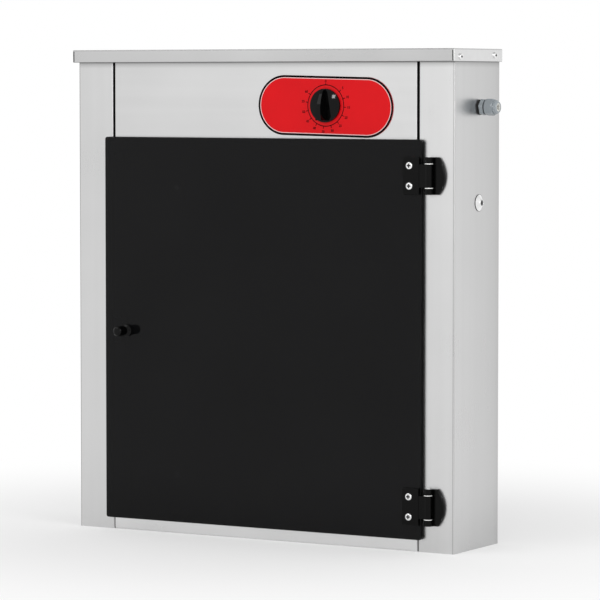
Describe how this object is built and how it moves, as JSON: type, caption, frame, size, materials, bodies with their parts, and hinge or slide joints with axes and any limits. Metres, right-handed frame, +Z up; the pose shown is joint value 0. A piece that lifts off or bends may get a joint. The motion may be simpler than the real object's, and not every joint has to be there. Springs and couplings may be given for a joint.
{
  "type": "knife sterilizer cabinet",
  "caption": "Shallow steel wall cabinet with a hinged black see-through door, a timer dial on a round-ended plate, an ultraviolet tube and a comb that knives hang in.",
  "frame": {"origin": "middle of the underside of the cabinet's body, on the floor plane and half way between front and wall", "axes": "+X to the viewer's right, +Y towards the wall, +Z up"},
  "size_m": [0.5806, 0.1515, 0.62],
  "materials": {
    "stainless": "fine brushed",
    "reflector": "bright rolled",
    "bright_fixings": "bright plated",
    "zinc_steel": "plated",
    "black_rubber": "matte",
    "clear_tube": "clear",
    "tube_caps": "satin",
    "white_plastic": "matte",
    "smoked_door": "polished, see-through",
    "black_hinge": "satin",
    "gloss_black": "glossy",
    "black_steel": "satin black",
    "black_plastic": "matte",
    "red_label": "printed sheet",
    "ballast_case": "satin white",
    "lead_sheath": "smooth",
    "pale_rubber": "matte",
    "grey_gland": "smooth"
  },
  "bodies": {
    "cabinet": {"left_side_panel": "stainless", "right_side_panel": "stainless", "control_fascia": "stainless", "base_pan": "stainless", "back_panel": "stainless", "top_cover": "stainless", "compartment_divider": "stainless", "knife_rack": "stainless", "lamp_reflector": "reflector", "cap_screws": "bright_fixings", "side_cup_washer": "bright_fixings", "side_screw": "bright_fixings", "upper_hinge_pin": "bright_fixings", "lower_hinge_pin": "bright_fixings", "lamp_guard": "bright_fixings", "back_panel_screws": "zinc_steel", "m4_nuts": "zinc_steel", "shelf_screws": "zinc_steel", "hinge_frame_screws": "zinc_steel", "catch_screws": "zinc_steel", "switch_bracket": "zinc_steel", "timer_screws": "zinc_steel", "ballast_screws": "zinc_steel", "lead_grommets": "black_rubber", "gland_washer": "black_rubber", "lampholders": "white_plastic", "hinge_washers": "white_plastic", "ballast_terminals": "white_plastic", "terminal_block": "white_plastic", "upper_hinge_frame_leaf": "black_hinge", "upper_hinge_cover": "black_hinge", "lower_hinge_frame_leaf": "black_hinge", "lower_hinge_cover": "black_hinge", "magnetic_catch": "black_plastic", "door_switch": "black_plastic", "timer_case": "black_plastic", "label_plate": "red_label", "ballast": "ballast_case", "internal_wiring": "lead_sheath", "gland_body": "grey_gland", "gland_locknut": "grey_gland", "gland_nut": "grey_gland", "gland_seal": "pale_rubber"},
    "door": {"door_panel": "smoked_door", "door_seal": "black_rubber", "upper_hinge_door_leaf": "black_hinge", "lower_hinge_door_leaf": "black_hinge", "hinge_door_screws": "bright_fixings", "hinge_backing_plates": "black_steel", "door_knob": "gloss_black", "door_knob_screw": "zinc_steel", "catch_strike": "zinc_steel", "switch_striker": "black_plastic"},
    "timer_dial": {"timer_knob": "gloss_black", "timer_spindle": "zinc_steel"},
    "lamp": {"uv_tube": "clear_tube", "uv_tube_caps": "tube_caps", "lampholder_rotors": "white_plastic"},
    "plunger": {"switch_plunger": "white_plastic"}
  },
  "joints": [
    {"name": "door_swing", "type": "hinge", "parent": "cabinet", "child": "door", "pos_m": [0.2424, -0.0665, 0.26], "axis": [0, 0, 1], "range_deg": [0, 150]},
    {"name": "timer_turn", "type": "hinge", "parent": "cabinet", "child": "timer_dial", "pos_m": [0.094, -0.062, 0.5497], "axis": [0, 1, 0], "range_deg": [0, 302]},
    {"name": "lamp_twist", "type": "hinge", "parent": "cabinet", "child": "lamp", "pos_m": [0.0015, 0.02, 0.477], "axis": [1, 0, 0], "range_deg": [0, 90]},
    {"name": "switch_plunger_slide", "type": "slide", "parent": "cabinet", "child": "plunger", "axis": [0, -1, 0], "range_m": [0, 0.003]}
  ],
  "couplings": [
    {"joint": "switch_plunger_slide", "follows": "door_swing", "m_per_rad": 0.001145}
  ]
}
